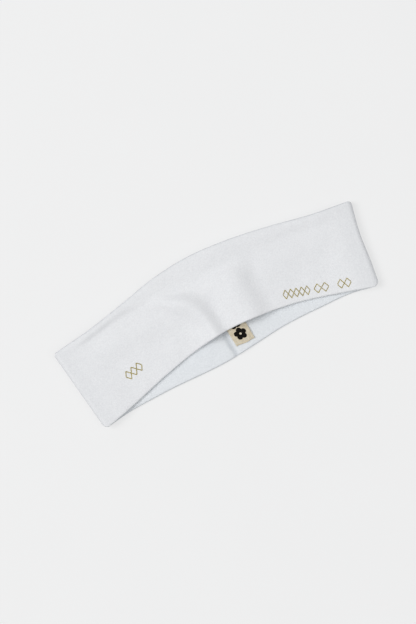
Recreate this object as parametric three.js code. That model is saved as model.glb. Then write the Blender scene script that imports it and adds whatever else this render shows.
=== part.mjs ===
// A spa headband of brushed stretch cloth, lying flat as it is folded for a drawer.
// Units are millimetres and +Z is up. X runs along the band, and Y runs across it towards the
// seamed upper edge. The loop is one cloth tube: the back of the loop lies on the table and the
// front lies on the back. Both are cut into segments that turn against each other on straight
// lines, because the loop opens from flat to a hoop that goes round a head.
import * as THREE from 'three';

// ---- driving dimensions -------------------------------------------------------------------

const FLAT_LENGTH = 250;      // outside of one end fold to the other, at mid width
const BAND_WIDTH = 70;        // lower fold to seamed edge, at the ends
const APEX = 890;             // every line across the band points at (0, -APEX), as on a cone
const BEND_AT = 45;           // the front and the back bend at this distance from the middle

const CLOTH = 0.9;            // thickness of one cloth layer
const HOLLOW = 0.9;           // space between the two walls of the tube
const PLY_GAP = 0.3;          // space between layers that lie on each other
const ALLOWANCE = 6;          // how far the long seam's allowances reach down inside the tube
const RIM_DROP = 10.5;        // depth below the seamed edge where the wall has come down again
const LAYER_GAP = 0.6;        // space between the back and the front at the end folds
const FOLD_LINE = 121.5;      // the end folds turn on this line, inside the fold's round nose
const MITRE = 29;             // degrees: both sides of a fold are cut back, to open by 120
const CUT = 0.3;              // space between two segments

const FRONT_LIFT = 7;         // how far the front stands off the back at most
const LIFT_AT = 22;           // where it does so
const LIFT_FROM = -20;        // and where that hump starts; it ends at the right bend
const TOP_RISE = 20.3;        // how far the front's upper edge is pushed up at the middle
const LOW_RISE = 23.9;        // the same for the front's lower edge
const BACK_LOW_RISE = 2.6;    // how far the back's lower edge is drawn up
const BACK_LOW_STEP = 4.6;    // extra rise of that edge to the right of the cross seam
const BACK_LOW_POWER = 12;    // the higher, the nearer to the end folds that rise dies away

const SEAM_X = -2.3;          // cross seam at the back
const SEAM_LEAN = 0.085;      // it leans to the left going up
const SEAM_BULK = 0.9;        // extra thickness where its allowances lie
const FLAP_LENGTH = 9.5;      // width of those allowances

const LABEL_WIDTH = 16;
const LABEL_LENGTH = 46;
const LABEL_START = 2.6;      // from the cross seam to the label
const LABEL_LOW = -27.8;      // the label's lower end
const LABEL_THICK = 0.5;
const STITCH_IN = 2;          // from the label's end to its stitch row
const STITCH_MARGIN = 1.2;    // from the label's side to the end of a stitch row
const BLOSSOMS = 4;           // how many there are on the label
const BLOSSOM_PITCH = 10;
const BLOSSOM_HALF = 4.6;     // half a blossom's width, measured from its stem
const STEM_HALF = 0.5;        // half the stem's width
const MARK_START = 3;         // from the label's lower end to the woven mark
const MARK_THICK = 0.2;

const THREAD = 0.5;           // thickness of a row of stitches
const GOLD_RISE = 0.5;        // how far embroidery stands above the cloth
const GOLD_STROKE = 0.8;      // width of an embroidered line
const GOLD_TIP = 0.45;        // half the width where two lozenges touch
const BACKING_THICK = 0.3;

// ---- worked out from them -----------------------------------------------------------------

const HALF_WIDTH = BAND_WIDTH / 2;
const FIELD = 2 * CLOTH + HOLLOW;               // two walls and the space between them
const RIM = 4 * CLOTH + 3 * PLY_GAP;            // two walls and two allowances
const FRONT_BASE = RIM + LAYER_GAP;             // underside of the front at the end folds
const FOLD_HEIGHT = RIM + LAYER_GAP / 2;        // height of the line that a fold turns on
const TURN = CLOTH / 2 + PLY_GAP / 2;           // centre-line radius of a seamed edge
const LOW_TURN = (CLOTH + HOLLOW) / 2;          // centre-line radius of the lower fold
const RIM_LOW = HALF_WIDTH - RIM_DROP;          // the wall starts to rise towards the rim here
const RIM_HIGH = RIM_LOW + 3;                   // and has risen fully here
const WALL_POINTS = [26, RIM_LOW, 10, -10];     // where a wall may bend, from the rim down

const material = (name, color, roughness) =>
  new THREE.MeshStandardMaterial({ name, color, roughness, metalness: 0 });

const CLOTH_WHITE = material('brushed_cloth', 0xe4e5e6, 0.95);
const THREAD_WHITE = material('seam_thread', 0xdfe0e0, 0.8);
const LABEL_CREAM = material('label_tape', 0xd3cdb4, 0.75);
const LABEL_BLACK = material('label_yarn', 0x1c1a1b, 0.8);
const GOLD = material('gold_thread', 0x9c8f3e, 0.5);
const FELT = material('backing_felt', 0xf0f0ee, 0.95);

const { clamp, lerp, smoothstep } = THREE.MathUtils;

// ---- the shape of the band ----------------------------------------------------------------

// 1 at the middle of the band and 0 at its ends, with its own fullness left and right.
function arch(u, leftPower, rightPower) {
  const power = lerp(leftPower, rightPower, smoothstep(u, -15, 25));
  return Math.pow(Math.max(Math.cos(Math.PI * u / (FLAT_LENGTH + 2)), 0), power);
}

// The Y of the front's and the back's upper and lower edges at the distance u along the band.
const EDGES = {
  front: {
    top: (u) => HALF_WIDTH + TOP_RISE * arch(u, 1.75, 1.25),
    low: (u) => -HALF_WIDTH + LOW_RISE * arch(u, 1.7, 0.85),
  },
  back: {
    top: () => HALF_WIDTH,
    low: (u) => {
      const even = 1 - Math.pow(2 * u / FLAT_LENGTH, BACK_LOW_POWER);
      return -HALF_WIDTH + even * (BACK_LOW_RISE + BACK_LOW_STEP * smoothstep(u, 0, 40));
    },
  },
};

// How far the front stands off the back: one soft hump.
function lift(u) {
  const reach = u < LIFT_AT ? LIFT_AT - LIFT_FROM : BEND_AT - LIFT_AT;
  const share = Math.min(Math.abs(u - LIFT_AT) / reach, 1);
  return FRONT_LIFT * Math.pow(Math.cos(Math.PI / 2 * share), 2);
}

// 0 on the plain part of the band and 1 on its thick seamed rim.
const rimShare = (v) => smoothstep(v, RIM_LOW, RIM_HIGH);

// How far the cross seam and the label have leaned to the left at v.
const lean = (v) => SEAM_LEAN * (v - LABEL_LOW);

// The extra height of the back's inner wall over the cross seam's allowances.
function seamBulk(u, v) {
  const past = u + lean(v) - SEAM_X;
  return past < 0 ? 0 : SEAM_BULK * (1 - smoothstep(past, FLAP_LENGTH + 0.5, FLAP_LENGTH + 13));
}

// Puts a point of the band in space. station is a distance u along the band, and its mitre is 1
// on the slanted face where a segment ends at a fold; v runs across the band from -35 to 35; z is
// the height above the layer's underside.
function place(layer, station, v, z) {
  const { u, mitre = 0 } = station;
  const edge = EDGES[layer];
  const y = lerp(edge.low(u), edge.top(u), (v + HALF_WIDTH) / BAND_WIDTH);
  const height = layer === 'front' ? z + FRONT_BASE + lift(u) : z;
  const slant = Math.abs(height - FOLD_HEIGHT) * Math.tan(THREE.MathUtils.degToRad(MITRE));
  const along = Math.abs(u) + mitre * slant;
  return new THREE.Vector3(Math.sign(u) * along * (1 + y / APEX), y, height);
}

// Stations from one distance to another along the flat part of the band.
function flatStations(from, to, count) {
  return Array.from({ length: count + 1 }, (_, i) => ({ u: lerp(from, to, i / count) }));
}

// The same, out to the right end fold and its slanted face; mirrored for the left one.
function foldStations(from, count, side) {
  const stations = [...flatStations(from, FOLD_LINE - 6, count), { u: FOLD_LINE, mitre: 1 }];
  if (side > 0) return stations;
  return stations.reverse().map(({ u, mitre }) => ({ u: -u, mitre }));
}

// A closed slab: its long axis follows the stations, its cross section follows a centre line
// of { v, z } points, and point(station, v, z) puts each of its corners in space.
function slab(stations, line, thickness, point) {
  const along = stations.length - 1;
  const across = line.length - 1;
  const geometry = new THREE.BoxGeometry(1, 1, 1, along, across, 1);
  const position = geometry.attributes.position;
  for (let i = 0; i < position.count; i++) {
    const station = stations[Math.round((position.getX(i) + 0.5) * along)];
    const step = Math.round((position.getY(i) + 0.5) * across);
    const before = line[Math.max(step - 1, 0)];
    const after = line[Math.min(step + 1, across)];
    const length = Math.hypot(after.v - before.v, after.z - before.z);
    const off = Math.sign(position.getZ(i)) * thickness / 2 / length;
    const v = line[step].v - off * (after.z - before.z);
    const z = line[step].z + off * (after.v - before.v);
    position.setXYZ(i, ...point(station, v, z).toArray());
  }
  return geometry;
}

// A half circle of centre-line points, from below to above, on the +v or the -v side.
function halfTurn(v, z, radius, side) {
  return Array.from({ length: 5 }, (_, i) => {
    const angle = Math.PI * (i / 4 - 0.5);
    return { v: v + side * radius * Math.cos(angle), z: z + radius * Math.sin(angle) };
  });
}

// The tube's cross section: the first allowance, round the seamed edge, down the lower wall,
// round the fold, up the upper wall and over the rim, and back down the second allowance.
function tubeLine() {
  const low = CLOTH / 2;
  const high = FIELD - CLOTH / 2;
  const edge = HALF_WIDTH - CLOTH / 2 - TURN;
  const fold = -HALF_WIDTH + CLOTH / 2 + LOW_TURN;
  const rise = high + 2 * (CLOTH + PLY_GAP) - (HOLLOW - PLY_GAP);
  return [
    { v: edge - ALLOWANCE, z: low + 2 * TURN },
    ...halfTurn(edge, low + TURN, TURN, 1).reverse(),
    ...WALL_POINTS.map((v) => ({ v, z: low })),
    ...halfTurn(fold, low + LOW_TURN, LOW_TURN, -1),
    ...WALL_POINTS.slice(1).reverse().map((v) => ({ v, z: high })),
    { v: (RIM_LOW + RIM_HIGH) / 2, z: (high + rise) / 2 },
    { v: RIM_HIGH, z: rise },
    ...halfTurn(edge, rise - TURN, TURN, 1).reverse(),
    { v: edge - ALLOWANCE, z: rise - 2 * TURN },
  ];
}

// ---- pieces -------------------------------------------------------------------------------

const band = new THREE.Group();

function addPiece(name, geometry, pieceMaterial) {
  const mesh = new THREE.Mesh(geometry, pieceMaterial);
  mesh.name = name;
  band.add(mesh);
}

// The cross seam is a leaning line, so the two segments beside it start on it. The lean has
// died away at LEAN_REACH from the seam.
const LEAN_REACH = 40;

function leanStation(station, v) {
  const share = clamp(1 - Math.abs(station.u - SEAM_X) / LEAN_REACH, 0, 1);
  return { ...station, u: station.u - lean(v) * share };
}

// One segment of the cloth tube.
function clothPiece(name, layer, stations) {
  const point = (station, v, z) => {
    if (layer === 'front') return place(layer, station, v, z);
    const leaning = leanStation(station, v);
    const inner = clamp((z - CLOTH) / HOLLOW, 0, 1) * (1 - rimShare(v));
    const bulk = name === 'back_center_right' ? seamBulk(leaning.u, v) : 0;
    return place(layer, leaning, v, z + inner * bulk);
  };
  return slab(stations, tubeLine(), CLOTH, point);
}

// The row of stitches in the groove of the seamed edge.
function edgeThread(layer, stations) {
  const middle = RIM / 2;
  const half = THREAD / 2;
  const line = [{ v: HALF_WIDTH - half, z: middle }, { v: HALF_WIDTH + half, z: middle }];
  return slab(stations, line, THREAD, (station, v, z) => {
    const at = layer === 'front' ? station : leanStation(station, v);
    return place(layer, at, v, z);
  });
}

// The cross seam's allowances, pressed to the right inside the tube, and the seam's thread.
function crossSeamAllowance() {
  const low = CLOTH + PLY_GAP;
  const high = CLOTH + HOLLOW + SEAM_BULK - PLY_GAP;
  const line = [-31, -10, 8, RIM_LOW - 1].map((v) => ({ v, z: (low + high) / 2 }));
  const stations = flatStations(SEAM_X + 1.4, SEAM_X + FLAP_LENGTH, 3);
  return slab(stations, line, high - low, (station, v, z) =>
    place('back', leanStation(station, v), v, z));
}

function crossSeamThread() {
  const middle = CLOTH + (HOLLOW + SEAM_BULK) / 2;
  const line = [-31, -10, 8, RIM_LOW - 1].map((v) => ({ v, z: middle }));
  const stations = flatStations(SEAM_X + 0.5, SEAM_X + 0.5 + THREAD, 1);
  return slab(stations, line, THREAD, (station, v, z) =>
    place('back', leanStation(station, v), v, z));
}

// A strip that lies on the back's inner wall. rise is its underside's height above the wall.
function onInnerWall(stations, line, thickness, rise) {
  return slab(stations, line, thickness, (station, v, z) => {
    const leaning = { u: station.u - lean(v) };
    const wall = FIELD + seamBulk(leaning.u, v);
    return place('back', leaning, v, wall + rise + thickness / 2 + z);
  });
}

const LABEL_FROM = SEAM_X + LABEL_START;
const LABEL_TOP = LABEL_LOW + LABEL_LENGTH;

function labelTape() {
  const stations = flatStations(LABEL_FROM, LABEL_FROM + LABEL_WIDTH, 6);
  const line = [0, 1 / 3, 2 / 3, 1].map((t) => ({ v: lerp(LABEL_LOW, LABEL_TOP, t), z: 0 }));
  return onInnerWall(stations, line, LABEL_THICK, PLY_GAP);
}

function labelStitches(v) {
  const right = LABEL_FROM + LABEL_WIDTH - STITCH_MARGIN;
  const stations = flatStations(LABEL_FROM + STITCH_MARGIN, right, 5);
  const line = [{ v: v - THREAD / 2, z: 0 }, { v: v + THREAD / 2, z: 0 }];
  return onInnerWall(stations, line, THREAD / 2, LABEL_THICK + 2 * PLY_GAP);
}

// The woven mark's outline: a row of plain blossoms on a stem.
function blossomShape() {
  const half = (t) => BLOSSOM_HALF * Math.sqrt(Math.abs(Math.sin(Math.PI * t))) + STEM_HALF;
  const steps = 8 * BLOSSOMS;
  const turns = Array.from({ length: steps + 1 }, (_, i) => i / steps * BLOSSOMS);
  const shape = new THREE.Shape();
  turns.forEach((t) => shape.lineTo(t * BLOSSOM_PITCH, half(t)));
  turns.reverse().forEach((t) => shape.lineTo(t * BLOSSOM_PITCH, -half(t)));
  return shape;
}

function labelMark() {
  const geometry = new THREE.ExtrudeGeometry(blossomShape(), {
    depth: MARK_THICK, bevelEnabled: false, steps: 1,
  });
  const under = FIELD + SEAM_BULK + LABEL_THICK + 2 * PLY_GAP;
  const position = geometry.attributes.position;
  for (let i = 0; i < position.count; i++) {
    const v = LABEL_LOW + MARK_START + position.getX(i);
    const u = LABEL_FROM + LABEL_WIDTH / 2 - position.getY(i) - lean(v);
    position.setXYZ(i, ...place('back', { u }, v, under + position.getZ(i)).toArray());
  }
  return geometry;
}

// A row of open lozenges that touch at their tips, as one outline with a hole in each.
function lozengeShape(count, pitch, height) {
  const shape = new THREE.Shape();
  shape.moveTo(0, GOLD_TIP);
  for (let i = 0; i < count; i++) {
    shape.lineTo((i + 0.5) * pitch, height / 2);
    shape.lineTo((i + 1) * pitch, GOLD_TIP);
  }
  for (let i = count; i > 0; i--) {
    shape.lineTo(i * pitch, -GOLD_TIP);
    shape.lineTo((i - 0.5) * pitch, -height / 2);
  }
  shape.lineTo(0, -GOLD_TIP);
  for (let i = 0; i < count; i++) {
    const middle = (i + 0.5) * pitch;
    const inX = pitch / 2 - 1.6 * GOLD_STROKE;
    const inY = height / 2 - 1.5 * GOLD_STROKE;
    const corners = [[-inX, 0], [0, -inY], [inX, 0], [0, inY]];
    shape.holes.push(new THREE.Path(corners.map(([dx, dy]) =>
      new THREE.Vector2(middle + dx, dy))));
  }
  return shape;
}

// The row in place: it starts at x, y on the front and climbs by slope.
function lozengeRow({ x, y, slope, count, pitch, height }) {
  const geometry = new THREE.ExtrudeGeometry(lozengeShape(count, pitch, height), {
    depth: GOLD_RISE, bevelEnabled: false, steps: 1,
  });
  const position = geometry.attributes.position;
  const angle = Math.atan(slope);
  for (let i = 0; i < position.count; i++) {
    const alongRow = position.getX(i);
    const acrossRow = position.getY(i);
    const px = x + alongRow * Math.cos(angle) - acrossRow * Math.sin(angle);
    const py = y + alongRow * Math.sin(angle) + acrossRow * Math.cos(angle);
    const u = px / (1 + py / APEX);
    const surface = FRONT_BASE + FIELD + lift(u);
    position.setXYZ(i, px, py, surface + PLY_GAP + position.getZ(i));
  }
  return geometry;
}

// The non-woven patch behind an embroidered place, between the two walls of the tube.
function backingPatch(from, to, lowV, highV) {
  const middle = CLOTH + HOLLOW / 2;
  const line = [0, 1 / 3, 2 / 3, 1].map((t) => ({ v: lerp(lowV, highV, t), z: middle }));
  return slab(flatStations(from, to, 6), line, BACKING_THICK, (station, v, z) =>
    place('front', station, v, z));
}

// ---- the loop, from the cross seam round to the cross seam --------------------------------

const near = BEND_AT + CUT / 2;
const inside = BEND_AT - CUT / 2;

const SEGMENTS = [
  ['back_center_right', 'back', flatStations(SEAM_X + CUT / 2, inside, 8)],
  ['back_right', 'back', foldStations(near, 5, 1)],
  ['front_right', 'front', foldStations(near, 8, 1)],
  ['front_center', 'front', flatStations(-inside, inside, 16)],
  ['front_left', 'front', foldStations(near, 8, -1)],
  ['back_left', 'back', foldStations(near, 5, -1)],
  ['back_center_left', 'back', flatStations(-inside, SEAM_X - CUT / 2, 5)],
];

for (const [name, layer, stations] of SEGMENTS) {
  addPiece(`cloth_${name}`, clothPiece(name, layer, stations), CLOTH_WHITE);
  addPiece(`seam_thread_${name}`, edgeThread(layer, stations), THREAD_WHITE);
}

addPiece('cross_seam_allowance', crossSeamAllowance(), CLOTH_WHITE);
addPiece('cross_seam_thread', crossSeamThread(), THREAD_WHITE);

addPiece('label_tape', labelTape(), LABEL_CREAM);
addPiece('label_mark', labelMark(), LABEL_BLACK);
addPiece('label_stitches_lower', labelStitches(LABEL_LOW + STITCH_IN), THREAD_WHITE);
addPiece('label_stitches_upper', labelStitches(LABEL_TOP - STITCH_IN), THREAD_WHITE);

// The right row falls to the right in three groups, and the left row climbs to the right.
const RIGHT_ROW = { x: 50.5, y: -5.4, slope: -0.286, height: 7 };
const RIGHT_GROUPS = [
  ['gold_row_right_long', 0, 5, 4.3],
  ['gold_row_right_middle', 24.6, 2, 5.9],
  ['gold_row_right_end', 43.2, 2, 5.4],
];

for (const [name, start, count, pitch] of RIGHT_GROUPS) {
  const across = Math.cos(Math.atan(RIGHT_ROW.slope)) * start;
  const row = { ...RIGHT_ROW, count, pitch, x: RIGHT_ROW.x + across };
  row.y += RIGHT_ROW.slope * across;
  addPiece(name, lozengeRow(row), GOLD);
}

addPiece('gold_row_left', lozengeRow({
  x: -87.4, y: -6.9, slope: 0.22, count: 3, pitch: 5.2, height: 7.4,
}), GOLD);

addPiece('backing_patch_right', backingPatch(48, 106, -22, 8), FELT);
addPiece('backing_patch_left', backingPatch(-93, -70, -12, 8), FELT);

// ---- the frame ----------------------------------------------------------------------------

// The origin is on the table, under the middle of the whole outline.
const middle = new THREE.Box3().setFromObject(band).getCenter(new THREE.Vector3());
band.position.set(-middle.x, -middle.y, 0);

export default band;
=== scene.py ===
# %% [markdown]
# # A spa headband
# The band is a closed loop of brushed stretch cloth. It lies flat, so its front half rests on its
# back half. Each half is a tube: one wide strip of cloth folded lengthwise at the lower edge, with
# both long edges turned in and sewn together along the upper edge. This scene gives the packed
# CAD frame its cloth, its stitches, its woven label and its embroidery.

import bpy
import numpy as np
from mathutils import Matrix, Vector


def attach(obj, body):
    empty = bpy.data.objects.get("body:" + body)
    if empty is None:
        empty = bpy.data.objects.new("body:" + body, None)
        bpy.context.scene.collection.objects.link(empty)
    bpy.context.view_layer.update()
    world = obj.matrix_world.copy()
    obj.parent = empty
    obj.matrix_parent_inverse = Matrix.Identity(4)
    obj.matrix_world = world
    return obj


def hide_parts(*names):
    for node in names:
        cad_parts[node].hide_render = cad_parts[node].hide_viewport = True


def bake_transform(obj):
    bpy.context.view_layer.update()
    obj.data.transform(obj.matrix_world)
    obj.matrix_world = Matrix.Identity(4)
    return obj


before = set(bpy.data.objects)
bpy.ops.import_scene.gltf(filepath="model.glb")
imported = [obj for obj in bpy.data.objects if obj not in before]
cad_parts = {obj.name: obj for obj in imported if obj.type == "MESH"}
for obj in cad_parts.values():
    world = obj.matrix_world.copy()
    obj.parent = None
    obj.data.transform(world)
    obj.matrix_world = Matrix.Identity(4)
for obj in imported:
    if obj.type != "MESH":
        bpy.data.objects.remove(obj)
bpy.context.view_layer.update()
MM = 0.001

# %% [markdown]
# ## The band's plan
# Distances are in millimetres until the last moment. `u` runs along the band, and `v` runs across
# it from the lower fold at -35 to the seamed edge at 35. Every line across the band points at one
# far point, as on a cone, because the sewn loop is a little wider along its upper edge. A maker
# would draw exactly this: a straight strip, and how far each edge is pushed out of line.

# %% Sizes
APEX = 890.0          # the lines across the band meet this far below its middle
HALF = 35.0           # half the band's width
CLOTH = 0.9           # one layer of cloth
FIELD = 2.7           # the two walls and the air between them
RIM = 4.5             # the same with the seam's two turned-in allowances
BASE = 5.1            # underside of the front half above the table
LIFT = 5.2            # the front half stands this much further off at its hump
LIFT_AT = 20.0        # where the hump is highest
LIFT_TO = 41.5        # and where it ends on the right
SEAM_X = -2.3         # cross seam, in the back half, level with the label's lower end
SEAM_LEAN = 0.085     # it leans to the left by this much per mm going up
SEAM_LEAN_ENDS = 40.0  # the cloth beside it leans too, up to this far away
LABEL_LOW = -27.8     # lower end of the label
NOSE_U = 121.3        # each end fold's round nose starts here
NOSE_R = 3.3          # and has this radius, seen from the band's edge
NOSE_OUT = 3.7        # but stands out this far
NOSE_Z = 4.8          # height of the line that it turns on
NOSE_PRESS = 0.66     # the layers are pressed together this much at the nose
ORIGIN = np.array([-0.031, -10.3577])  # from the plan's origin to the frame's


def ease(x, low, high):
    """Smooth step: t = clamp((x - low) / (high - low), 0, 1), result t * t * (3 - 2 t)."""
    t = np.clip((x - low) / (high - low), 0.0, 1.0)
    return t * t * (3.0 - 2.0 * t)


def bell(x, width):
    """Bell curve: exp(-(x / width)^2 / 2)."""
    return np.exp(-0.5 * (x / width) ** 2)


def mix(a, b, t):
    """Straight blend: a + (b - a) t."""
    return a + (b - a) * t


def nose_share(u):
    """0 on the flat band, rising to 1 where the end fold's nose starts."""
    return ease(np.abs(u), 94.0, NOSE_U)


def smooth_through(x, knots):
    """Smooth curve through a few (x, y) points. Between two points it is the cubic that leaves
    each one with the mean slope of the straight lines on either side of it."""
    at, value = np.array(knots, dtype=float).T
    slope = np.gradient(value, at)
    i = np.clip(np.searchsorted(at, x, side="right") - 1, 0, len(at) - 2)
    width = at[i + 1] - at[i]
    t = np.clip((x - at[i]) / width, 0.0, 1.0)
    first = (1 - t) ** 2 * ((1 + 2 * t) * value[i] + t * width * slope[i])
    second = t ** 2 * ((3 - 2 * t) * value[i + 1] - (1 - t) * width * slope[i + 1])
    return first + second


# Y of each edge at a few places along the band, from one end fold to the other.
EDGES = {
    "front": (
        [(-NOSE_U, -35), (-95, -29), (-60, -19.8), (-25, -12.7), (0, -10.2), (25, -11.2),
         (55, -15), (90, -23.5), (NOSE_U, -32.2)],
        [(-NOSE_U, 35.3), (-90, 39.6), (-60, 46), (-30, 52.6), (-5, 55), (25, 53.3), (60, 47.8),
         (95, 40.5), (NOSE_U, 37)],
    ),
    "back": (
        [(-NOSE_U, -35), (-103, -32.6), (-70, -31.4), (-5, -31.8), (12, -30.2), (45, -27.3),
         (75, -27.5), (105, -28.9), (NOSE_U, -32.2)],
        [(-NOSE_U, 35.3), (80, 35), (NOSE_U, 37)],
    ),
}


def edges(layer, u):
    """Y of the lower and the upper edge of the front or back half at u."""
    return [smooth_through(u, knots) for knots in EDGES[layer]]


def bow(side, v):
    """How much further an end fold stands out than NOSE_OUT: the right one is a little hollow
    in its middle, the left one is almost straight."""
    right = smooth_through(v, [(-35, 0.8), (-18, 0.6), (10, -0.5), (35, 0.9)])
    return np.where(side > 0, right, 0.2)


# %% [markdown]
# ## How the cloth lies
# The front half stands off the back half in one soft hump, with a few drag lines across it where
# the stretch cloth has been pushed up. A sculpted or simulated cloth could give them, but a height
# written as a sum of bells and steps stays smooth, and each fold can be moved on its own. The
# seamed edge is thicker than the rest, because four layers lie there.

# %% Heights
LEFT_DRAG = [(-12, -4.6), (8, -7), (20, -10), (26, -14.5), (34, -26)]
RIGHT_DRAG = [(-14, 34.5), (8, 30.5), (22, 30.8), (38, 28)]


def past_line(u, y, path):
    """Distance to the right of a path, given as (y, u) points."""
    return u - smooth_through(y, path)


def wrinkles(u, y):
    """Height in mm of the front half's drag lines, hollows and gentle waves. The left drag line
    is a bell whose steep right flank follows its path. The right one is a small wave across its
    path, -q bell(q). The hollows are bells across a line, and the waves products of two sines."""
    high = ease(y, -2.0, 26.0)
    spread = mix(5.0, 8.0, high)
    left_ridge = bell(past_line(u, y, LEFT_DRAG) + spread, spread)
    height = mix(5.0, 6.8, high) * left_ridge * (1 - ease(y, 22.0, 42.0))

    q = past_line(u, y, RIGHT_DRAG)
    right_wave = q / 3.6 * bell(q, 3.6)
    right_share = mix(1.0, 0.45, ease(-y, -6, 8)) * (1 - ease(y, 17.0, 31.0))
    height -= 0.25 * right_wave * right_share

    rim_hollow = bell(y - 36.5 + 0.006 * (u - 10.0) ** 2, 3.0)
    height -= 0.6 * rim_hollow * ease(u, -12, 2) * (1 - ease(u, 24, 36))
    left_hollow = bell(y - mix(24.0, 32.0, ease(u, -110, -70)), 5.0)
    height -= 0.5 * left_hollow * (1 - ease(u, -78, -45))

    height += 0.16 * np.sin(u / 9.0 + y / 17.0) * np.sin(y / 11.0 - u / 31.0)
    height += 0.12 * np.sin(u / 4.7 - y / 6.3 + 1.0) * np.sin(u / 23.0 + 0.6)
    return height * (1.0 - nose_share(u))


def rim_share(v):
    """0 on the plain part of the band and 1 over the turned-in allowances: a smooth step
    across the band."""
    return ease(v, 23.5, 29.0)


def front_rim(u, v):
    """The same for the front half's face: a smooth step that starts at low. It is narrow and
    crisp on the left, broad and faint in the middle, and clear on the right."""
    low = mix(12.0, 27.6, ease(-u, 25.0, 78.0)) + 10.5 * ease(u, 30.0, 80.0)
    return ease(v, low, 31.5)


def sag(u, y):
    """How far the front half's plain part sinks onto the thinner plain part of the back half: a
    depth on the left and on the right, times smooth steps that end it before the seamed edge and
    before the folds. In the middle it is 0, so the front stays clear of the label."""
    depth = 2.0 * (1 - ease(u, -36.0, -8.0)) + 1.6 * ease(u, 32.0, 72.0)
    return depth * (1 - ease(y, 4.0, 22.0)) * (1 - ease(np.abs(u), 84.0, 110.0))


def lift(u, y):
    """Height of the front half's hump: LIFT cos^2 between its ends, else 0. It starts at the
    left drag line, and three quarters of it die away towards the seamed edge."""
    start = smooth_through(y, LEFT_DRAG)
    reach = np.where(u < LIFT_AT, LIFT_AT - start, LIFT_TO - LIFT_AT)
    share = np.minimum(np.abs(u - LIFT_AT) / reach, 1.0)
    return LIFT * np.cos(np.pi / 2 * share) ** 2 * (1 - 0.75 * ease(y, 20.0, 42.0))


GROOVE_AT = 1.2  # the cross seam's groove lies this far to its left


def seam_distance(u, v):
    """Distance to the right of the cross seam, which leans to the left going up."""
    return u + SEAM_LEAN * (v - LABEL_LOW) - SEAM_X


def lining_relief(u, v):
    """Height in mm that the back half's inner wall gets from what lies under it: the pressed
    allowances of the cross seam on its right, and the groove of the seam itself."""
    past = seam_distance(u, v)
    bulk = 0.8 * ease(past, -1.5, 3.0) * (1 - ease(past, 10.0, 22.0))
    groove = 0.9 * bell(past + GROOVE_AT, 1.5)
    waves = 0.12 * np.sin(u / 6.0 + v / 9.0) * np.sin(v / 7.0)
    return (bulk - groove + waves) * (1 - nose_share(u))


def place_flat(layer, u, v, depth, inner):
    """Point of the flat band. depth is how far below the cloth's outer face it lies, and inner
    is 1 on the inner wall, 0 on the outer one."""
    low, top = edges(layer, u)
    y = mix(low, top, (v + HALF) / (2 * HALF))
    share = nose_share(u)
    press = mix(1.0, NOSE_PRESS, share)
    if layer == "back":
        relief = inner * (1 - rim_share(v)) * lining_relief(u, v)
        z = share * (NOSE_Z - NOSE_R) + press * depth + relief
    else:
        rim = front_rim(u, v)
        thick = FIELD + (RIM - FIELD) * (rim + (1 - rim) * share)
        thick = thick + inner * (RIM - FIELD) * (rim_share(v) - rim)
        base = mix(BASE, NOSE_Z + NOSE_R - RIM * NOSE_PRESS, share) - sag(u, y)
        raised = lift(u, y) + wrinkles(u, y)
        z = base + raised + press * (thick - depth)
    x = u * (1.0 + y / APEX)
    return np.stack([x + ORIGIN[0], y + ORIGIN[1], z], axis=-1) * MM


def place_nose(side, angle, v, depth):
    """Point of an end fold's nose. angle runs from -90 degrees, below, to 90 above. The corners
    of the fold are rounded: the width loses 2.6 (1 - |sin angle|) at each edge."""
    cut = 2.6 * (1.0 - np.abs(np.sin(angle)))
    low, top = edges("front", np.array(side * NOSE_U))
    y = mix(low + cut, top - cut, (v + HALF) / (2 * HALF))
    out = NOSE_OUT + bow(side, v) - NOSE_PRESS * depth
    x = side * (NOSE_U + out * np.cos(angle)) * (1.0 + y / APEX)
    z = NOSE_Z + (NOSE_R - NOSE_PRESS * depth) * np.sin(angle)
    return np.stack([x + ORIGIN[0], y + ORIGIN[1], z], axis=-1) * MM


# %% [markdown]
# ## The folded strip
# Seen in cross section the cloth is one line. It starts with a turned-in allowance, goes round
# the seamed edge, along the outer wall, round the lower fold, back along the inner wall and over
# the rim, and ends with the second allowance. `section` lays points along that line, and
# `skin_ring` thickens it into a closed outline with the cloth's real 0.9 mm. A Solidify modifier
# could do the same to an open sheet. The closed outline is used because it says which wall each
# point is on, and the finish needs to know that.

# %% Cross section
STEP = 1.35            # distance between points on a wall
ALLOWANCE = 5.4        # how far each long edge is turned in
EDGE_TURN = 0.6        # radius of the turned edge's middle line
# The next value is painted shade: how much darker the cloth is painted along a sharp edge.
EDGE_SHADE_STRENGTH = 0.75         # how grey a sharp edge looks, from 0 to 1


def half_turn(v, depth, radius, side, count=7):
    """Half circle of (v, depth) points from small to large depth, on the side +1 or -1."""
    angle = np.pi * (np.linspace(0, 1, count) - 0.5)
    return np.stack([v + side * radius * np.cos(angle), depth + radius * np.sin(angle)], axis=1)


def run(v_from, v_to, depth):
    """Evenly spaced points along a wall, without its ends."""
    count = max(int(abs(v_to - v_from) / STEP), 2)
    v = np.linspace(v_from, v_to, count + 1)[1:-1]
    return np.stack([v, depth(v) if callable(depth) else np.full_like(v, depth)], axis=1)


def inner_depth(v):
    """Depth of the inner wall's middle: half a cloth less than the thickness, which grows from
    FIELD on the plain part to RIM over the allowances."""
    return FIELD - CLOTH / 2 + (RIM - FIELD) * rim_share(v)


def section():
    """The cloth's middle line as (v, depth) points."""
    turn = EDGE_TURN
    edge = HALF - CLOTH / 2 - turn
    fold = -HALF + FIELD / 2
    outer = CLOTH / 2
    parts = [
        run(edge - ALLOWANCE, edge, outer + 2 * turn),
        half_turn(edge, outer + turn, turn, 1)[::-1],
        run(edge, fold, outer),
        half_turn(fold, FIELD / 2, FIELD / 2 - outer, -1),
        run(fold, edge, inner_depth),
        half_turn(edge, RIM - outer - turn, turn, 1)[::-1],
        run(edge, edge - ALLOWANCE, RIM - outer - 2 * turn),
    ]
    return np.concatenate(parts)


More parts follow.
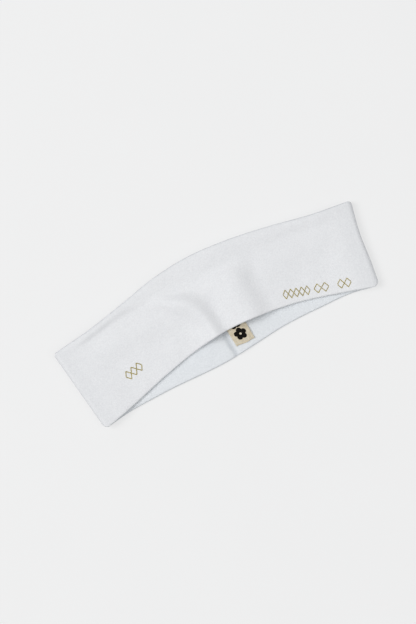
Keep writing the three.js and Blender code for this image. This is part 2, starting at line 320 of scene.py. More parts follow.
def skin_ring(line):
    """Closed outline round a middle line: the line moved by half the cloth's thickness to one
    side, and back along the other side. Also returns, per point, 1 on the inner wall."""
    ahead = np.gradient(line, axis=0)
    ahead /= np.linalg.norm(ahead, axis=1, keepdims=True)
    across = np.stack([-ahead[:, 1], ahead[:, 0]], axis=1) * CLOTH / 2
    ring = np.concatenate([line + across, (line - across)[::-1]])
    inner = ease(line[:, 1], CLOTH / 2, FIELD - CLOTH / 2)
    return ring, np.concatenate([inner, inner[::-1]])


LINE = section()
RING, INNER = skin_ring(LINE)
# Painted shade: the cloth is painted a little greyer at both edges, along the cross seam and round
# the end folds, where shade falls. The front half's lower edge is a loose fold, so it keeps a fifth
# of that.
EDGE_SHADE = EDGE_SHADE_STRENGTH * bell(RING[:, 0] + HALF, 0.5) + EDGE_SHADE_STRENGTH * bell(RING[:, 0] - HALF, 0.5)
FRONT_EDGE_SHADE = EDGE_SHADE * mix(0.2, 1.0, ease(RING[:, 0], -10.0, 10.0))
NOSE_TIP_SHADE = 0.7      # the same at the tip of an end fold
SEAM_GROOVE_SHADE = 0.7      # and along the cross seam
END_SHADE = 0.14        # and on the whole rounded end

# %% [markdown]
# ## From rows to a mesh
# A length of the band is a stack of rings, one per station along it. Faces join each ring to the
# next, and a strip of faces closes each end. The shading normals come from one more station past
# each end, so two lengths that meet have the same normals there and no line shows between them.

# %% Mesh making


def new_object(name, points, faces, material):
    """An object from vertex rows and a list or array of faces, in metres, at the origin."""
    mesh = bpy.data.meshes.new(name)
    mesh.from_pydata(points.reshape(-1, 3).tolist(), [], [list(map(int, f)) for f in faces])
    mesh.validate()
    mesh.materials.append(material)
    mesh.shade_smooth()
    obj = bpy.data.objects.new(name, mesh)
    bpy.context.scene.collection.objects.link(obj)
    return obj


def ring_faces(rows, around):
    """Quads between neighbouring rows, each row being a closed ring."""
    r = np.arange(rows - 1)[:, None] * around
    a = np.arange(around)[None, :]
    b = (a + 1) % around
    return np.stack([r + a, r + b, r + b + around, r + a + around], axis=-1).reshape(-1, 4)


def cap_faces(rows, around):
    """The strips that close the first and the last ring."""
    k = np.arange(around // 2 - 1)
    strip = np.stack([k, around - 1 - k, around - 2 - k, k + 1], axis=1)
    return np.concatenate([strip, strip[:, ::-1] + (rows - 1) * around])


def grid_normals(grid):
    """Unit normals of a grid of closed rings with one spare row at each end: the cross product
    of the step along and the step around."""
    along = grid[2:] - grid[:-2]
    around = np.roll(grid, -1, axis=1)[1:-1] - np.roll(grid, 1, axis=1)[1:-1]
    normal = np.cross(around, along)
    return normal / np.maximum(np.linalg.norm(normal, axis=-1, keepdims=True), 1e-12)


def skin(name, grid, material, **marks):
    """Closed cloth mesh from a grid of rings with one spare row at each end. marks are values
    for each point of a ring or of the whole grid, which the finish reads."""
    rows, around = grid.shape[0] - 2, grid.shape[1]
    walls, caps = ring_faces(rows, around), cap_faces(rows, around)
    obj = new_object(name, grid[1:-1], np.concatenate([walls, caps]), material)
    mesh = obj.data
    volume = signed_volume(mesh)
    normals = grid_normals(grid).reshape(-1, 3)
    if volume < 0:
        mesh.flip_normals()
    corner = np.empty(len(mesh.loops), dtype=np.int32)
    mesh.loops.foreach_get("vertex_index", corner)
    if np.sum(face_normals(mesh)[: len(walls)] * normals[walls[:, 0]]) < 0:
        normals = -normals
    split = normals[corner]
    flat = np.repeat(face_normals(mesh), 4, axis=0)
    split[len(walls) * 4:] = flat[len(walls) * 4:]
    mesh.normals_split_custom_set(split.tolist())
    for key, values in marks.items():
        layer = mesh.attributes.new(key, "FLOAT", "POINT")
        each = np.broadcast_to(values, (rows, around))
        layer.data.foreach_set("value", each.astype(np.float32).ravel())
    return obj


def face_normals(mesh):
    """Unit normal of every face."""
    out = np.empty(len(mesh.polygons) * 3, dtype=np.float32)
    mesh.polygons.foreach_get("normal", out)
    return out.reshape(-1, 3)


def signed_volume(mesh):
    """Volume of a closed mesh: sum of a . (b x c) / 6 over its triangles. It is negative when the
    faces point inwards."""
    mesh.calc_loop_triangles()
    tri = np.empty(len(mesh.loop_triangles) * 3, dtype=np.int32)
    mesh.loop_triangles.foreach_get("vertices", tri)
    co = np.empty(len(mesh.vertices) * 3)
    mesh.vertices.foreach_get("co", co)
    a, b, c = co.reshape(-1, 3)[tri.reshape(-1, 3)].transpose(1, 0, 2)
    return float(np.einsum("ij,ij->i", a, np.cross(b, c)).sum() / 6)


# %% [markdown]
# ## Finishes
# The cloth is a white brushed fleece. Up close it has a short nap and a faint cloudiness where the
# nap lies in different directions, and it carries painted shade at its edges, folds and cross seam.
# The label is a ribbed cream tape, the embroidery a shiny rayon thread in old gold. Each finish is
# built from noise at several scales, read in object space.

# %% Material helpers


def finish(name):
    """A new node material: returns the material, its node maker and its linker."""
    material = bpy.data.materials.new(name)
    material.use_nodes = True
    tree = material.node_tree
    shader = tree.nodes["Principled BSDF"]

    def node(kind, **values):
        made = tree.nodes.new(kind)
        for key, value in values.items():
            if key in made.inputs:
                made.inputs[key].default_value = value
            else:
                setattr(made, key, value)
        return made

    return material, shader, node, tree.links.new


def colour(node, link, factor, dark, light):
    """Two-colour ramp driven by a factor."""
    ramp = node("ShaderNodeValToRGB")
    ramp.color_ramp.elements[0].position = 0.3
    ramp.color_ramp.elements[1].position = 0.7
    ramp.color_ramp.elements[0].color = (*dark, 1)
    ramp.color_ramp.elements[1].color = (*light, 1)
    link(factor, ramp.inputs["Fac"])
    return ramp.outputs["Color"]


def noise(node, link, where, scale, detail=3.0, rough=0.55):
    """Noise in object space; scale is in repeats per metre."""
    made = node("ShaderNodeTexNoise", Scale=scale, Detail=detail, Roughness=rough)
    link(where, made.inputs["Vector"])
    return made.outputs["Fac"]


def bump(node, link, height, strength, distance, below=None):
    """Bump from a height signal, on top of an earlier one."""
    made = node("ShaderNodeBump", Strength=strength, Distance=distance)
    link(height, made.inputs["Height"])
    if below is not None:
        link(below, made.inputs["Normal"])
    return made.outputs["Normal"]


# %% Cloth finish


def cloth_finish():
    """White brushed fleece: cloudy nap, fine fibre bump, a soft sheen, cooler on the lining, and
    painted shade that greys it at its edges, end folds and cross seam.
    """
    material, shader, node, link = finish("brushed_cloth")
    where = node("ShaderNodeTexCoord").outputs["Object"]
    cloud = noise(node, link, where, 240.0, 4.0, 0.6)
    nap = noise(node, link, where, 900.0, 3.0, 0.65)
    fibre = noise(node, link, where, 3200.0, 2.0, 0.7)
    warm = colour(node, link, cloud, (0.852, 0.857, 0.870), (0.874, 0.879, 0.890))
    cool = colour(node, link, cloud, (0.820, 0.845, 0.868), (0.838, 0.862, 0.884))
    inner = node("ShaderNodeAttribute", attribute_name="lining")
    two = node("ShaderNodeMix", data_type="RGBA")
    link(inner.outputs["Fac"], two.inputs["Factor"])
    link(warm, two.inputs[6])
    link(cool, two.inputs[7])
    speckle = node("ShaderNodeMix", data_type="RGBA", blend_type="MULTIPLY")
    speckle.inputs["Factor"].default_value = 0.95
    link(two.outputs[2], speckle.inputs[6])
    link(colour(node, link, nap, (0.905, 0.905, 0.91), (1.0, 1.0, 1.0)), speckle.inputs[7])
    # Painted shade: the cloth is darkened towards this cool grey at its edges, end folds and cross
    # seam, as the mesh's shade mark says.
    shade_attribute = node("ShaderNodeAttribute", attribute_name="crease")
    fold = node("ShaderNodeMix", data_type="RGBA", blend_type="MULTIPLY")
    link(shade_attribute.outputs["Fac"], fold.inputs["Factor"])
    link(speckle.outputs[2], fold.inputs[6])
    fold.inputs[7].default_value = (0.70, 0.715, 0.73, 1)
    link(fold.outputs[2], shader.inputs["Base Color"])
    first = bump(node, link, nap, 0.5, 0.0004)
    link(bump(node, link, fibre, 0.3, 0.00012, first), shader.inputs["Normal"])
    shader.inputs["Roughness"].default_value = 0.95
    shader.inputs["Specular IOR Level"].default_value = 0.15
    shader.inputs["Sheen Weight"].default_value = 0.12
    shader.inputs["Sheen Roughness"].default_value = 0.6
    return material


CLOTH_FINISH = cloth_finish()
print("finish:", CLOTH_FINISH.name)

# %% [markdown]
# ## The loop in six lengths
# The loop is modelled in six lengths that meet edge to edge: four that lie flat and one round each
# end fold.

# %% Stations


def spaced(start, stop, step=1.3):
    """Evenly spaced numbers from start to stop."""
    return np.linspace(start, stop, max(int(abs(stop - start) / step), 1) + 1)


def leaning(u, v):
    """Stations beside the cross seam lean with it: SEAM_LEAN per mm at the seam, and nothing
    from SEAM_LEAN_ENDS away."""
    share = np.clip(1.0 - np.abs(u - SEAM_X) / SEAM_LEAN_ENDS, 0.0, 1.0)
    return u - SEAM_LEAN * (v - LABEL_LOW) * share


def flat_rows(layer, stations, ring, inner):
    """Grid of points for flat stations."""
    u, v = np.meshgrid(stations, ring[:, 0], indexing="ij")
    if layer == "back":
        u = leaning(u, v)
    depth = np.broadcast_to(ring[:, 1], u.shape)
    return place_flat(layer, u, v, depth, np.broadcast_to(inner, u.shape))


def nose_rows(side, angles, ring):
    """Grid of points for stations round an end fold."""
    a, v = np.meshgrid(angles, ring[:, 0], indexing="ij")
    return place_nose(side, a, v, np.broadcast_to(ring[:, 1], a.shape))


CREST = 12.0           # the front half's two lengths meet here, on the hump
# Stations crowd beside the cross seam, where the groove is. The first one leaves a gap of
# 0.03 mm, so the two sides don't cut through each other when the loop opens.
NEAR_SEAM = np.array([0.03, 0.35, 0.7, 1.05, 1.4, 1.9, 2.6, 3.5])
QUARTER = np.pi / 2
NOSE_ANGLES = np.linspace(-QUARTER, QUARTER, 33)
BACK_RIGHT = np.concatenate([SEAM_X + NEAR_SEAM, spaced(SEAM_X + 4.6, NOSE_U)])
BACK_LEFT = np.concatenate([SEAM_X - NEAR_SEAM, spaced(SEAM_X - 4.6, -NOSE_U)])
FRONT_RIGHT = spaced(NOSE_U, CREST)
FRONT_LEFT = spaced(CREST, -NOSE_U)
print("stations:", len(BACK_RIGHT), len(BACK_LEFT), len(FRONT_RIGHT), len(FRONT_LEFT))


def moves_with(obj):
    """Bakes obj's transform into its mesh."""
    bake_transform(obj)


# %% The six lengths of cloth


def length_of_cloth(name, rows, flat_length, crease=EDGE_SHADE):
    """One length of the loop: its mesh and finish. It prints its faces and its flat length."""
    obj = skin("cloth_" + name, rows, CLOTH_FINISH, lining=INNER, crease=crease)
    moves_with(obj)
    print(obj.name, len(obj.data.polygons), "faces, flat length mm", round(flat_length, 1))
    return obj


def stack(before, rows, after):
    """Rows of points with one spare row a little past each end, for the shading normals."""
    return np.concatenate([before, rows, after])


def back_cloth(name, side, stations):
    """A back half's length, from the cross seam to an end fold."""
    before = flat_rows("back", stations[:1] - side * 0.35, RING, INNER)
    after = nose_rows(side, np.array([-QUARTER + 0.15]), RING)
    rows = flat_rows("back", stations, RING, INNER)
    past = seam_distance(leaning(stations[:, None], RING[None, :, 0]), RING[None, :, 0])
    # Painted shade along the cross seam's groove on the lining, on top of the painted shade at the
    # edges.
    crease = np.maximum(EDGE_SHADE, SEAM_GROOVE_SHADE * bell(past + GROOVE_AT, 1.4) * INNER)
    span = abs(stations[-1] - stations[0])
    return length_of_cloth(name, stack(before, rows, after), span, crease=crease)


def fold_cloth(name, side):
    """The cloth round an end fold. Its inner wall turns on a smaller radius and is gathered."""
    before = flat_rows("back", np.array([side * (NOSE_U - 0.4)]), RING, INNER)
    after = flat_rows("front", np.array([side * (NOSE_U - 0.4)]), RING, INNER)
    rows = nose_rows(side, NOSE_ANGLES, RING)
    length = np.pi * NOSE_R
    # Painted shade over the whole rounded end, darkest along its tip, on top of the painted shade
    # at the edges.
    tip = bell(NOSE_ANGLES[:, None], 0.4)
    crease = np.maximum(EDGE_SHADE, END_SHADE + (NOSE_TIP_SHADE - END_SHADE) * tip)
    return length_of_cloth(name, stack(before, rows, after), length, crease)


def front_cloth(name, side, stations):
    """A front half's length, between an end fold and the crest of the hump."""
    edge = nose_rows(side, np.array([QUARTER - 0.15]), RING)
    beyond = flat_rows("front", np.array([CREST - side * 1.3]), RING, INNER)
    rows = flat_rows("front", stations, RING, INNER)
    ends = (edge, beyond) if side > 0 else (beyond, edge)
    span = abs(stations[-1] - stations[0])
    # Painted shade at the edges, growing towards the end fold.
    crease = np.maximum(FRONT_EDGE_SHADE, END_SHADE * ease(np.abs(stations[:, None]), 104.0, NOSE_U))
    return length_of_cloth(name, stack(ends[0], rows, ends[1]), span, crease=crease)


back_right = back_cloth("back_right", 1, BACK_RIGHT)
right_fold = fold_cloth("right_fold", 1)
front_right = front_cloth("front_right", 1, FRONT_RIGHT)
front_left = front_cloth("front_left", -1, FRONT_LEFT)
left_fold = fold_cloth("left_fold", -1)
back_left = back_cloth("back_left", -1, BACK_LEFT)

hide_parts("cloth_back_center_right", "cloth_back_right")
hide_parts("cloth_back_right", "cloth_front_right")
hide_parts("cloth_front_right", "cloth_front_center")
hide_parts("cloth_front_center", "cloth_front_left")
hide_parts("cloth_back_left", "cloth_front_left")
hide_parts("cloth_back_left", "cloth_back_center_left")

# %% [markdown]
# ## Thread
# A stitch is a short soft tube that dips into the cloth at both ends. A bevelled curve for each
# would do, but there are about nine hundred. One function turns many short curves into one mesh
# of such tubes, with 26 faces each. It is used for the seam, for the label's stitching and for
# the embroidery.

# %% Thread finish and tubes


def thread_finish(name, dark, light, rough, ply, sheen=0.0):
    """Twisted thread: two tones along the ply and a fine ridged bump. ply is in turns a metre."""
    material, shader, node, link = finish(name)
    where = node("ShaderNodeTexCoord").outputs["Object"]
    wave = node("ShaderNodeTexWave", Scale=ply, Distortion=2.5, Detail=2.0)
    wave.bands_direction = "DIAGONAL"
    link(where, wave.inputs["Vector"])
    tone = noise(node, link, where, 700.0, 3.0)
    both = node("ShaderNodeMath", operation="ADD")
    link(wave.outputs["Fac"], both.inputs[0])
    link(tone, both.inputs[1])
    half = node("ShaderNodeMath", operation="MULTIPLY")
    link(both.outputs[0], half.inputs[0])
    half.inputs[1].default_value = 0.5
    link(colour(node, link, half.outputs[0], dark, light), shader.inputs["Base Color"])
    link(bump(node, link, wave.outputs["Fac"], 0.5, 0.00008), shader.inputs["Normal"])
    shader.inputs["Roughness"].default_value = rough
    shader.inputs["Sheen Weight"].default_value = sheen
    return material


def tubes(name, curves, radius, material, around=6):
    """Closed tubes round curves, an array of (tube, point, xyz). With t from -1 to 1 along a
    tube, its radius is the given one times the square root of 1 - 0.9 t^4, so its ends are drawn
    in."""
    count, points = curves.shape[:2]
    ahead = np.gradient(curves, axis=1)
    ahead /= np.linalg.norm(ahead, axis=-1, keepdims=True)
    side = np.cross(ahead, np.array([0.02, 0.03, 1.0]))
    side /= np.linalg.norm(side, axis=-1, keepdims=True)
    up = np.cross(side, ahead)
    t = np.linspace(-1, 1, points)
    size = radius * np.sqrt(np.maximum(1.0 - 0.9 * t ** 4, 0.1))
    turn = 2 * np.pi * np.arange(around) / around
    ring = side[:, :, None] * np.cos(turn)[:, None] + up[:, :, None] * np.sin(turn)[:, None]
    verts = curves[:, :, None] + ring * size[None, :, None, None]
    walls = ring_faces(points, around)
    first = np.arange(around)
    caps = [first[::-1], first + (points - 1) * around]
    step = points * around
    faces = [f + i * step for i in range(count) for f in (*walls, *caps)]
    obj = new_object(name, verts, faces, material)
    if signed_volume(obj.data) < 0:
        obj.data.flip_normals()
    return obj


SEAM_THREAD = thread_finish("seam_thread", (0.62, 0.63, 0.64), (0.80, 0.81, 0.82), 0.7, 900.0)

# %% Seam stitches


def seam_curves(place, along, length, count=5):
    """One curve per stitch in the groove of the seamed edge, whose ends dip into the cloth by
    0.35 t^4. place turns distances into points."""
    t = np.linspace(-1, 1, count)
    at = along[:, None] + t * length / 2
    v = np.broadcast_to(HALF - 0.75 - 0.35 * t ** 4, at.shape)
    return place(at, v)


def seam_stitches(name, curves, nodes):
    """The seam's stitches on one length of the loop."""
    obj = tubes("seam_stitches_" + name, curves, 0.28 * MM, SEAM_THREAD)
    moves_with(obj)
    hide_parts(*nodes)
    print(obj.name, len(obj.data.polygons), "faces")


def in_flat(layer):
    """Places seam stitches on a flat length."""
    def place(at, v):
        u = leaning(at, v) if layer == "back" else at
        return place_flat(layer, u, v, np.full_like(u, RIM / 2), np.zeros_like(u))
    return place


def in_nose(side):
    """Places seam stitches round an end fold; distance along is on the nose's middle line."""
    middle = NOSE_R - NOSE_PRESS * RIM / 2
    return lambda at, v: place_nose(side, at / middle - QUARTER, v, np.full_like(at, RIM / 2))


PITCH = 2.9             # from one stitch to the next
STITCH = 2.3            # length of a stitch
SEAM_END = NOSE_U - 1   # the last stitch on a flat length starts before this
FLAT_SEAMS = {
    "back_right": np.arange(0.5, SEAM_END, PITCH),
    "back_left": -np.arange(5.5, SEAM_END, PITCH),
    "front_right": np.arange(CREST + 1.5, SEAM_END, PITCH),
    "front_left": np.arange(CREST - 1.4, -SEAM_END, -PITCH),
}
SEAM_NODES = {
    "back_right": ["seam_thread_back_center_right", "seam_thread_back_right"],
    "back_left": ["seam_thread_back_left", "seam_thread_back_center_left"],
    "front_right": ["seam_thread_front_right"],
    "front_left": ["seam_thread_front_center", "seam_thread_front_left"],
    "right_fold": ["seam_thread_back_right"],
    "left_fold": ["seam_thread_back_left"],
}
for length, along in FLAT_SEAMS.items():
    place = in_flat(length.split("_")[0])
    seam_stitches(length, seam_curves(place, along, STITCH), SEAM_NODES[length])
for length, side in (("right_fold", 1), ("left_fold", -1)):
    one_stitch = seam_curves(in_nose(side), np.array([2.8]), 2.0)
    seam_stitches(length, one_stitch, SEAM_NODES[length])

# %% [markdown]
# ## The woven label
# A cream ribbed tape lies up the inside of the back half, just right of the cross seam. Both its
# ends are turned under and sewn down with a row of stitches, which pucker it a little. It carries
# a row of plain black blossoms. They are thin solids that follow the tape, because a pattern in
# the tape's finish would have no thickness of yarn at its edge.

# %% Label tape
LABEL_FROM = 0.3        # left side of its lower end
LABEL_WIDTH = 16.0
LABEL_LENGTH = 46.0
LABEL_TOP = LABEL_LOW + LABEL_LENGTH
LABEL_TAPE = 0.4        # thickness of the tape
LABEL_FLAP = 5.0        # turned under at each end
LABEL_SLANT = 2.0       # the lower end drops this much from left to right
LABEL_UP = 0.95         # middle of the tape above the lining, with the flap under it
FLAP_UP = 0.42          # middle of the flap above the lining
ROW_IN = 2.0            # each stitch row lies this far in from its end


def on_lining(across, v, height):
    """Point on the back half's inner wall, height mm above it. across runs over the label's
    width, and the label leans as the seam does. It was sewn a little askew, so v drops by
    LABEL_SLANT times the share of the width, and that dies away upwards as a bell."""
    u = LABEL_FROM + across - SEAM_LEAN * (v - LABEL_LOW)
    v = v - LABEL_SLANT * across / LABEL_WIDTH * bell(v - LABEL_LOW, 9.0)
    return place_flat("back", u, v, FIELD + height, np.ones_like(u))


def tape_height(across, v):
    """Height of the tape's middle: it is puckered down at its two stitch rows, and bows up a
    little between and beside them."""
    near_row = bell(v - LABEL_LOW - ROW_IN, 0.7) + bell(LABEL_TOP - ROW_IN - v, 0.7)
    bow_up = 0.35 * np.sin(np.pi * np.clip((v - LABEL_LOW) / LABEL_LENGTH, 0, 1)) ** 2
    ripple = 0.07 * np.sin(across * 2.1 + 0.5) * bell(v - LABEL_LOW, 5.0)
    return LABEL_UP + bow_up - 0.16 * near_row + ripple


def label_tape():
    """The tape as one folded strip: a flap, a turn, the long face, a turn and the other flap.
    over is 0 on the flaps and 1 on the face."""
    flap, turn, face = np.linspace(LABEL_FLAP, 0.5, 8), [0.12, 0.0, 0.12], 76
    v = np.concatenate([
        LABEL_LOW + flap,
        LABEL_LOW + np.array(turn),
        np.linspace(LABEL_LOW + 0.5, LABEL_TOP - 0.5, face),
        LABEL_TOP - np.array(turn),
        LABEL_TOP - flap[::-1],
    ])
    rising = [0.12, 0.5, 0.88]
    over = np.concatenate([0 * flap, rising, np.ones(face), rising[::-1], 0 * flap])
    line = np.stack([v, mix(FLAP_UP, LABEL_UP, over)], axis=1)
    ahead = np.gradient(line, axis=0)
    ahead /= np.linalg.norm(ahead, axis=1, keepdims=True)
    off = np.stack([-ahead[:, 1], ahead[:, 0]], axis=1) * LABEL_TAPE / 2
    ring = np.concatenate([line + off, (line - off)[::-1]])
    share = np.concatenate([over, over[::-1]])
    stations = np.concatenate([[-0.3], np.linspace(0, LABEL_WIDTH, 40), [LABEL_WIDTH + 0.3]])
    a, vv = np.meshgrid(stations, ring[:, 0], indexing="ij")
    height = ring[None, :, 1] + share * (tape_height(a, vv) - LABEL_UP)
    wavy = vv + 0.3 * np.sin(a * 0.5 + 0.6) * bell(vv - LABEL_LOW, 4.0)
    return skin("label_tape", on_lining(a, wavy, height), LABEL_FINISH)


def label_finish(name, dark, light, rough, sheen=0.08, specular=0.5):
    """Ribbed woven tape: fine ribs across, a weave bump, cloudy tone."""
    material, shader, node, link = finish(name)
    where = node("ShaderNodeTexCoord").outputs["Object"]
    rib = node("ShaderNodeTexWave", Scale=420.0, Distortion=0.6, Detail=1.0)
    rib.bands_direction = "Y"
    link(where, rib.inputs["Vector"])
    warp = node("ShaderNodeTexWave", Scale=700.0, Distortion=0.4, Detail=1.0)
    warp.bands_direction = "X"
    link(where, warp.inputs["Vector"])
    cloud = noise(node, link, where, 420.0, 4.0, 0.6)
    shade = node("ShaderNodeMix", data_type="RGBA", blend_type="MULTIPLY")
    shade.inputs["Factor"].default_value = 0.55
    link(colour(node, link, cloud, dark, light), shade.inputs[6])
    link(colour(node, link, rib.outputs["Fac"], (0.86, 0.85, 0.82), (1, 1, 1)), shade.inputs[7])
    link(shade.outputs[2], shader.inputs["Base Color"])
    first = bump(node, link, rib.outputs["Fac"], 0.6, 0.00012)
    link(bump(node, link, warp.outputs["Fac"], 0.4, 0.00006, first), shader.inputs["Normal"])
    shader.inputs["Roughness"].default_value = rough
    shader.inputs["Sheen Weight"].default_value = sheen
    shader.inputs["Specular IOR Level"].default_value = specular
    return material


CREAM = (0.62, 0.535, 0.385), (0.80, 0.715, 0.555)
BLACK = (0.004, 0.003, 0.002), (0.012, 0.010, 0.008)
LABEL_FINISH = label_finish("label_tape", *CREAM, 0.8)
MARK_FINISH = label_finish("label_yarn", *BLACK, 0.9, sheen=0.0, specular=0.1)

tape = label_tape()
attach(tape, "back_center_right")
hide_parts("label_tape")
print("label tape faces:", len(tape.data.polygons))

# %% Label mark


def blossom_points(middle_v, rings, around, size, height):
    """Rows of points of a flat five-petalled blossom: bottom, edge and slightly domed top. Its
    edge is at size (0.7 + 0.3 |cos 2.5 a|^0.7) from its middle, at angle a."""
    turn = 2 * np.pi * np.arange(around) / around
    petal = size * (0.70 + 0.30 * np.abs(np.cos(2.5 * turn)) ** 0.7)
    rows = []
    for share, up in rings:
        a = LABEL_WIDTH / 2 + share * petal * np.sin(turn)
        v = middle_v + share * petal * np.cos(turn)
        rows.append(on_lining(a, v, tape_height(a, v) + LABEL_TAPE / 2 + height + up))
    return np.array(rows)


def disc_mesh(name, blossoms, material):
    """One mesh of closed discs, each given as rows of rings from the bottom to the top middle."""
    verts, faces, base = [], [], 0
    for rows in blossoms:
        count, around = rows.shape[:2]
        first = np.arange(around)
        walls = ring_faces(count, around) + base
        caps = [first[::-1] + base, first + (count - 1) * around + base]
        faces += [*walls, *caps]
        verts.append(rows.reshape(-1, 3))
        base += count * around
    obj = new_object(name, np.concatenate(verts), faces, material)
    if signed_volume(obj.data) < 0:
        obj.data.flip_normals()
    return obj


# Rings from the bottom to the top, as (share of the petal's reach, height).
BLOSSOM_RINGS = [
    (0.02, 0.0), (0.5, 0.0), (1.0, 0.0), (1.0, 0.09),
    (0.93, 0.14), (0.6, 0.16), (0.25, 0.16), (0.02, 0.16),
]
EYE_RINGS = [(0.03, 0.1), (1.0, 0.1), (1.0, 0.2), (0.7, 0.24), (0.03, 0.26)]
BLOSSOMS = 4
BLOSSOM_PITCH = 10.0
BLOSSOM_REACH = 5.2
EYE_REACH = 1.0
MARK_START = 3.2        # above the label's lower end
MIDDLES = LABEL_LOW + MARK_START + BLOSSOM_PITCH * (np.arange(BLOSSOMS) + 0.5)
blossom_discs = [blossom_points(m, BLOSSOM_RINGS, 60, BLOSSOM_REACH, 0.01) for m in MIDDLES]
eye_discs = [blossom_points(m, EYE_RINGS, 30, EYE_REACH, 0.01) for m in MIDDLES]
mark = disc_mesh("label_mark", blossom_discs, MARK_FINISH)
eyes = disc_mesh("label_mark_eyes", eye_discs, LABEL_FINISH)
for piece in (mark, eyes):
    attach(piece, "back_center_right")
    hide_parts("label_mark")
print("blossoms at v =", np.round(MIDDLES, 1))

# %% Label stitches


def label_stitches(name, middle_v):
    """A row of stitches across the label, whose ends dive into the tape as 0.3 t^4."""
    t = np.linspace(-1, 1, 5)
    starts = np.arange(1.3, LABEL_WIDTH - 1.0, 1.75)
    across = starts[:, None] + 0.62 * t
    v = np.full_like(across, middle_v)
    v += 0.1 * np.sin(starts * 3.0)[:, None]
    height = tape_height(across, v) + LABEL_TAPE / 2 + 0.12 - 0.3 * t ** 4
    obj = tubes(name, on_lining(across, v, height), 0.17 * MM, SEAM_THREAD)
    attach(obj, "back_center_right")
    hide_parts(name)


label_stitches("label_stitches_lower", LABEL_LOW + ROW_IN)
label_stitches("label_stitches_upper", LABEL_TOP - ROW_IN)

# %% [markdown]
# ## The gold embroidery
# Two rows of open lozenges run across the front half, one on each side. A machine sews each line
# as satin stitch: many short slanting threads side by side. Every thread is its own small tube
# that follows the cloth's surface, so the rows take the light as thread does.

# %% Embroidery


def on_front(x, y, height):
    """Point height mm above the front half's outer face, from the plan's x and y. It undoes
    the cone, u = x / (1 + y / APEX), and then finds v from how far y is between the edges."""
    u = x / (1.0 + y / APEX)
    low, top = edges("front", u)
    v = (y - low) / (top - low) * 2 * HALF - HALF
    return place_flat("front", u, v, -height, np.zeros_like(u))


def lozenge_lines(start, count, pitch, height):
    """Ends of the four sides of each lozenge in a row, as (side, end, xy)."""
    sides = []
    for tip in start + pitch * np.arange(count):
        for turn in (1, -1):
            left = (tip + 0.15, 0.2 * turn)
            point = (tip + pitch / 2, height / 2 * turn)
            right = (tip + pitch - 0.15, 0.2 * turn)
            sides += [(left, point), (point, right)]
    return np.array(sides)


def satin(lines, width, gap):
    """Middles and half-lengths of slanting threads across each line: evenly spaced along it,
    in the direction square to it plus 0.55 of its own."""
    middles, across = [], []
    for a, b in lines:
        length = np.hypot(*(b - a))
        t = (np.arange(int(length / gap)) + 0.5) / int(length / gap)
        ahead = (b - a) / length
        slant = np.array([-ahead[1], ahead[0]]) + 0.55 * ahead
        middles.append(a + (b - a) * t[:, None])
        across.append(np.tile(slant / np.hypot(*slant) * width / 2, (len(t), 1)))
    return np.concatenate(middles), np.concatenate(across)


def embroidery(name, row, lines, width=0.8, gap=0.26):
    """One embroidered group: threads laid on the front half's surface. With t from -1 to 1
    along a thread, it stands 0.16 - 0.32 t^4 above the cloth, so both its ends dive in."""
    x0, y0, slope = row
    angle = np.arctan(slope)
    turn = np.array([[np.cos(angle), -np.sin(angle)], [np.sin(angle), np.cos(angle)]])
    middles, across = satin(lines, width, gap)
    t = np.linspace(-1, 1, 5)
    wobble = 1 + 0.15 * np.sin(np.arange(len(middles)) * 2.4)
    points = middles[:, None] + across[:, None] * (t[None, :, None] * wobble[:, None, None])
    points = points @ turn.T + np.array([x0, y0])
    height = np.broadcast_to(0.16 - 0.32 * t ** 4, points.shape[:2])
    obj = tubes(name, on_front(points[..., 0], points[..., 1], height), 0.15 * MM, GOLD_THREAD)
    moves_with(obj)
    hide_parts(name)
    print(name, len(middles), "threads")


GOLD_THREAD = thread_finish(
    "gold_thread", (0.24, 0.180, 0.025), (0.62, 0.520, 0.160), 0.36, 1400.0, sheen=0.1)

# Each row: x and y of its start, and its slope.
RIGHT_ROW = (50.5, -5.4, -0.286)
LEFT_ROW = (-87.4, -6.9, 0.22)
# Each group on the right: start along the row, number of lozenges, and pitch.
RIGHT_GROUPS = {"long": (0.0, 5, 4.3), "middle": (24.6, 2, 5.9), "end": (43.2, 2, 5.4)}
for group, (start, count, pitch) in RIGHT_GROUPS.items():
    lines = lozenge_lines(start, count, pitch, 7.0)
    embroidery("gold_row_right_" + group, RIGHT_ROW, lines)
embroidery("gold_row_left", LEFT_ROW, lozenge_lines(0.0, 3, 5.2, 7.4), 0.95)

# %% [markdown]
# ## What lies inside the tube
# Behind each embroidered place a piece of non-woven backing is caught between the two walls. It
# bends with the cloth. The cross seam's pressed allowances and its thread stay as the CAD made
# them, because the cloth over them hides them, and they only need a finish. New meshes for them
# would look the same.

# %% Backing and hidden parts


def felt_finish():
    """Non-woven backing: short crossing fibres."""
    material, shader, node, link = finish("backing_felt")
    where = node("ShaderNodeTexCoord").outputs["Object"]
    blotch = noise(node, link, where, 260.0, 4.0)
    fibres = noise(node, link, where, 1900.0, 3.0, 0.7)
    felt = colour(node, link, blotch, (0.80, 0.80, 0.785), (0.88, 0.88, 0.87))
    link(felt, shader.inputs["Base Color"])
    link(bump(node, link, fibres, 0.5, 0.0001), shader.inputs["Normal"])
    shader.inputs["Roughness"].default_value = 0.95
    return material


FELT = felt_finish()


def backing(name, u_from, u_to, v_from, v_to):
    """A sheet 0.3 mm thick, halfway between the two walls."""
    v = np.linspace(v_from, v_to, 20)
    ring = np.concatenate([np.stack([v, 0 * v + 1.2], 1), np.stack([v[::-1], 0 * v + 1.5], 1)])
    stations = spaced(u_from, u_to, 2.0)
    padded = np.concatenate([stations[:1] - 1, stations, stations[-1:] + 1])
    obj = skin(name, flat_rows("front", padded, ring, np.zeros(len(ring))), FELT)
    moves_with(obj)
    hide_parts(name)


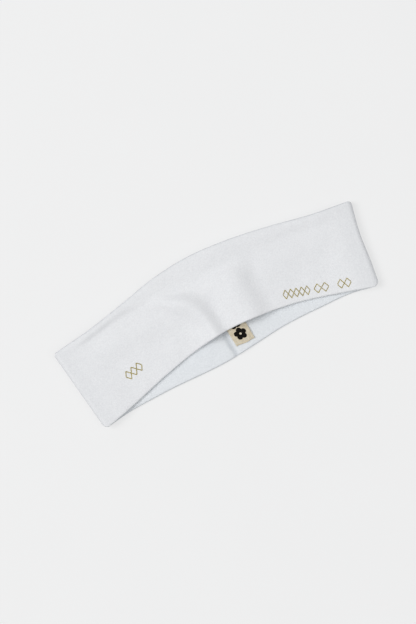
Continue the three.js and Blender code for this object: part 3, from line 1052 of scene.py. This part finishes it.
backing("backing_patch_right", 48.0, 106.0, -22.0, 8.0)
backing("backing_patch_left", -93.0, -70.0, -12.0, 8.0)
for name, material in (("cross_seam_allowance", CLOTH_FINISH), ("cross_seam_thread", SEAM_THREAD)):
    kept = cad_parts[name]
    kept.data.materials.clear()
    kept.data.materials.append(material)

# %% [markdown]
# ## Table, light and camera
# The band lies on a plain, faintly glowing table under a large soft light from its upper left, with
# a pale glow from all round. A white table with no glow would be as pale, but the band would
# throw a darker shadow on it. The camera looks straight down with a long lens.

# %% Table


def plain_table():
    """A pale matt plane just under the band."""
    material, shader, node, link = finish("table")
    where = node("ShaderNodeTexCoord").outputs["Object"]
    tone = noise(node, link, where, 12.0, 2.0)
    pale = colour(node, link, tone, (0.300, 0.300, 0.300), (0.305, 0.305, 0.305))
    link(pale, shader.inputs["Base Color"])
    shader.inputs["Emission Color"].default_value = (1, 1, 1, 1)
    shader.inputs["Emission Strength"].default_value = 0.575
    shader.inputs["Roughness"].default_value = 1.0
    shader.inputs["Specular IOR Level"].default_value = 0.0
    half, below = 3.0, 0.00015
    corners = np.array([[-half, -half], [half, -half], [half, half], [-half, half]])
    points = np.column_stack([corners, np.full(4, -below)])
    floor = new_object("table", points, [[0, 1, 2, 3]], material)


plain_table()

# %% Light
RIGHT = Vector((0.8906, -0.4549, 0.0))        # the view's right, 27 degrees off the band's length
UP = Vector((0.4549, 0.8906, 0.0))            # the view's up
MIDDLE = Vector((-0.00753, -0.00093, 0.006))  # what the camera looks at


def area_light(name, offset, size, power):
    """A square light that faces the band."""
    light = bpy.data.lights.new(name, "AREA")
    light.shape = "SQUARE"
    light.size = size
    light.energy = power
    obj = bpy.data.objects.new(name, light)
    obj.location = offset
    obj.rotation_euler = (MIDDLE - Vector(offset)).to_track_quat("-Z", "Y").to_euler()
    bpy.context.scene.collection.objects.link(obj)


area_light("key", (-1.7, 1.0, 2.6), 1.8, 56.0)
area_light("top", (1.1, -0.5, 2.3), 2.2, 14.0)

world = bpy.data.worlds.new("studio")
bpy.context.scene.world = world
world.use_nodes = True
world.node_tree.nodes["Background"].inputs["Color"].default_value = (0.97, 0.985, 1.0, 1)
world.node_tree.nodes["Background"].inputs["Strength"].default_value = 0.42
bpy.context.scene.view_settings.view_transform = "Standard"

# %% Camera
CAMERA_UP = 1.6  # metres above the band
camera = bpy.data.cameras.new("camera")
camera.sensor_width = 36.0
camera.lens = 118.5
holder = bpy.data.objects.new("camera", camera)
turned = Matrix((RIGHT, UP, Vector((0, 0, 1)))).transposed().to_4x4()
holder.matrix_world = Matrix.Translation(MIDDLE + Vector((0, 0, CAMERA_UP))) @ turned
bpy.context.scene.collection.objects.link(holder)
bpy.context.scene.camera = holder
